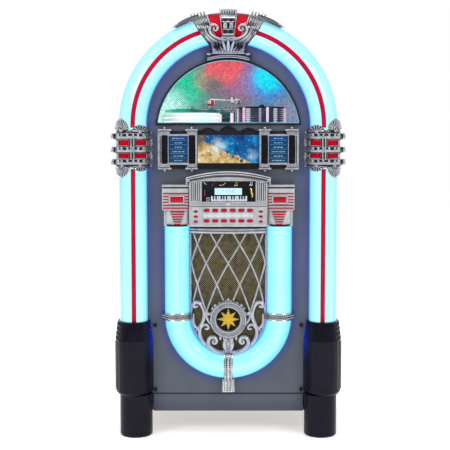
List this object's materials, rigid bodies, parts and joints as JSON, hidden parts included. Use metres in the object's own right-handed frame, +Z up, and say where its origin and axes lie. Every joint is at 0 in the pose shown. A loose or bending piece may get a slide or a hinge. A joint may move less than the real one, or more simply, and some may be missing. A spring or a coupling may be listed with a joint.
{
  "type": "jukebox",
  "caption": "Arch-topped jukebox with glowing corner tubes, chrome crown and clamps, a record window, display band, push-button panel and latticed speaker grille inside a U-shaped light tube.",
  "frame": {"origin": "centre of the bounding box's footprint, on the floor", "axes": "+Z up, -Y towards the front with the window and controls, +X to the right seen from the front"},
  "size_m": [0.852, 0.56, 1.545],
  "materials": {
    "grey_lacquer": "grey gloss lacquer on board",
    "inner_board": "raw board inside, black outside",
    "black_gloss": "moulded, polished",
    "black_satin": "satin",
    "tube_plastic": "frosted diffuser, lit from inside",
    "red_plastic": "translucent red",
    "led_strip": "printed circuit strip",
    "chrome": "bright plating on castings",
    "glass": "clear sheet",
    "silver_paint": "silver lacquer, satin",
    "screen": "lit display",
    "dark_glass": "tinted window",
    "circuit": "printed circuit board",
    "cloth": "black cloth with gold thread",
    "gold": "gilt",
    "speaker": "baskets and paper cones",
    "steel": "plated steel",
    "backdrop": "embossed foil on board",
    "white_lit": "lit drum",
    "record": "pressed disc",
    "arm": "white arm"
  },
  "bodies": {
    "cabinet": {"side_panels": "grey_lacquer", "arched_roof": "grey_lacquer", "base_board": "inner_board", "front_panel": "grey_lacquer", "plinth_board": "grey_lacquer", "mechanism_deck": "black_satin", "lower_back_panel": "inner_board", "legs": "black_gloss", "column_sleeves": "black_gloss", "sleeve_screws": "black_satin", "light_tubes": "tube_plastic", "red_trim_strips": "red_plastic", "led_strips": "led_strip", "clamp_castings": "chrome", "red_lenses": "red_plastic", "crown_casting": "chrome", "window_pane": "glass", "window_trim": "chrome", "title_frame": "chrome", "title_backplate": "black_satin", "display_screens": "screen", "control_housing": "silver_paint", "display_lens": "dark_glass", "button_board": "circuit", "lower_tubes": "tube_plastic", "tube_bands": "chrome", "grille_cloth": "cloth", "grille_lattice": "chrome", "scroll_casting": "chrome", "medallion_star": "gold", "loudspeakers": "speaker", "amplifier": "steel", "mains_inlet": "black_satin", "turntable_base": "white_lit", "hinge_and_strike": "steel"},
    "door": {"back_door": "inner_board", "backdrop_panel": "backdrop"},
    "lock": {"door_lock": "steel"},
    "rocker": {"power_rocker": "red_plastic"},
    "platter_body": {"platter": "record"},
    "arm_body": {"tonearm": "arm"},
    "magazine_body": {"disc_magazine": "record"},
    "select_button_01_body": {"select_button_01": "red_plastic"},
    "select_button_02_body": {"select_button_02": "red_plastic"},
    "select_button_03_body": {"select_button_03": "red_plastic"},
    "select_button_04_body": {"select_button_04": "red_plastic"},
    "select_button_05_body": {"select_button_05": "red_plastic"},
    "select_button_06_body": {"select_button_06": "red_plastic"},
    "select_button_07_body": {"select_button_07": "red_plastic"},
    "select_button_08_body": {"select_button_08": "red_plastic"},
    "select_button_09_body": {"select_button_09": "red_plastic"},
    "select_button_10_body": {"select_button_10": "red_plastic"},
    "select_button_11_body": {"select_button_11": "red_plastic"},
    "select_button_12_body": {"select_button_12": "red_plastic"},
    "mode_button_1_body": {"mode_button_1": "red_plastic"},
    "mode_button_2_body": {"mode_button_2": "red_plastic"},
    "mode_button_3_body": {"mode_button_3": "red_plastic"},
    "mode_button_4_body": {"mode_button_4": "red_plastic"},
    "mode_button_5_body": {"mode_button_5": "red_plastic"},
    "mode_button_6_body": {"mode_button_6": "red_plastic"}
  },
  "joints": [
    {"name": "back_door_hinge", "type": "hinge", "parent": "cabinet", "child": "door", "pos_m": [0.392, 0.27, 1.07], "axis": [0, 0, -1], "range_deg": [0, 110]},
    {"name": "door_lock_turn", "type": "hinge", "parent": "door", "child": "lock", "pos_m": [-0.34, 0.27, 0.85], "axis": [0, -1, 0], "range_deg": [0, 90]},
    {"name": "power_switch", "type": "hinge", "parent": "cabinet", "child": "rocker", "pos_m": [0.274, 0.272, 0.19], "axis": [1, 0, 0], "range_deg": [-9, 9]},
    {"name": "platter_spin", "type": "hinge", "parent": "cabinet", "child": "platter_body", "pos_m": [-0.138, -0.04, 1.19], "axis": [0, 0, 1], "continuous": true},
    {"name": "tonearm_swing", "type": "hinge", "parent": "cabinet", "child": "arm_body", "pos_m": [0.014, 0.035, 1.238], "axis": [0, 0, -1], "range_deg": [-14, 12]},
    {"name": "magazine_turn", "type": "hinge", "parent": "cabinet", "child": "magazine_body", "pos_m": [0.127, -0.02, 1.15], "axis": [0, 0, 1], "continuous": true},
    {"name": "select_button_01_press", "type": "slide", "parent": "cabinet", "child": "select_button_01_body", "axis": [0, 1, 0], "range_m": [0, 0.0025], "stiffness_N_per_m": 300},
    {"name": "select_button_02_press", "type": "slide", "parent": "cabinet", "child": "select_button_02_body", "axis": [0, 1, 0], "range_m": [0, 0.0025], "stiffness_N_per_m": 300},
    {"name": "select_button_03_press", "type": "slide", "parent": "cabinet", "child": "select_button_03_body", "axis": [0, 1, 0], "range_m": [0, 0.0025], "stiffness_N_per_m": 300},
    {"name": "select_button_04_press", "type": "slide", "parent": "cabinet", "child": "select_button_04_body", "axis": [0, 1, 0], "range_m": [0, 0.0025], "stiffness_N_per_m": 300},
    {"name": "select_button_05_press", "type": "slide", "parent": "cabinet", "child": "select_button_05_body", "axis": [0, 1, 0], "range_m": [0, 0.0025], "stiffness_N_per_m": 300},
    {"name": "select_button_06_press", "type": "slide", "parent": "cabinet", "child": "select_button_06_body", "axis": [0, 1, 0], "range_m": [0, 0.0025], "stiffness_N_per_m": 300},
    {"name": "select_button_07_press", "type": "slide", "parent": "cabinet", "child": "select_button_07_body", "axis": [0, 1, 0], "range_m": [0, 0.0025], "stiffness_N_per_m": 300},
    {"name": "select_button_08_press", "type": "slide", "parent": "cabinet", "child": "select_button_08_body", "axis": [0, 1, 0], "range_m": [0, 0.0025], "stiffness_N_per_m": 300},
    {"name": "select_button_09_press", "type": "slide", "parent": "cabinet", "child": "select_button_09_body", "axis": [0, 1, 0], "range_m": [0, 0.0025], "stiffness_N_per_m": 300},
    {"name": "select_button_10_press", "type": "slide", "parent": "cabinet", "child": "select_button_10_body", "axis": [0, 1, 0], "range_m": [0, 0.0025], "stiffness_N_per_m": 300},
    {"name": "select_button_11_press", "type": "slide", "parent": "cabinet", "child": "select_button_11_body", "axis": [0, 1, 0], "range_m": [0, 0.0025], "stiffness_N_per_m": 300},
    {"name": "select_button_12_press", "type": "slide", "parent": "cabinet", "child": "select_button_12_body", "axis": [0, 1, 0], "range_m": [0, 0.0025], "stiffness_N_per_m": 300},
    {"name": "mode_button_1_press", "type": "slide", "parent": "cabinet", "child": "mode_button_1_body", "axis": [0, 1, 0], "range_m": [0, 0.0025], "stiffness_N_per_m": 300},
    {"name": "mode_button_2_press", "type": "slide", "parent": "cabinet", "child": "mode_button_2_body", "axis": [0, 1, 0], "range_m": [0, 0.0025], "stiffness_N_per_m": 300},
    {"name": "mode_button_3_press", "type": "slide", "parent": "cabinet", "child": "mode_button_3_body", "axis": [0, 1, 0], "range_m": [0, 0.0025], "stiffness_N_per_m": 300},
    {"name": "mode_button_4_press", "type": "slide", "parent": "cabinet", "child": "mode_button_4_body", "axis": [0, 1, 0], "range_m": [0, 0.0025], "stiffness_N_per_m": 300},
    {"name": "mode_button_5_press", "type": "slide", "parent": "cabinet", "child": "mode_button_5_body", "axis": [0, 1, 0], "range_m": [0, 0.0025], "stiffness_N_per_m": 300},
    {"name": "mode_button_6_press", "type": "slide", "parent": "cabinet", "child": "mode_button_6_body", "axis": [0, 1, 0], "range_m": [0, 0.0025], "stiffness_N_per_m": 300}
  ]
}
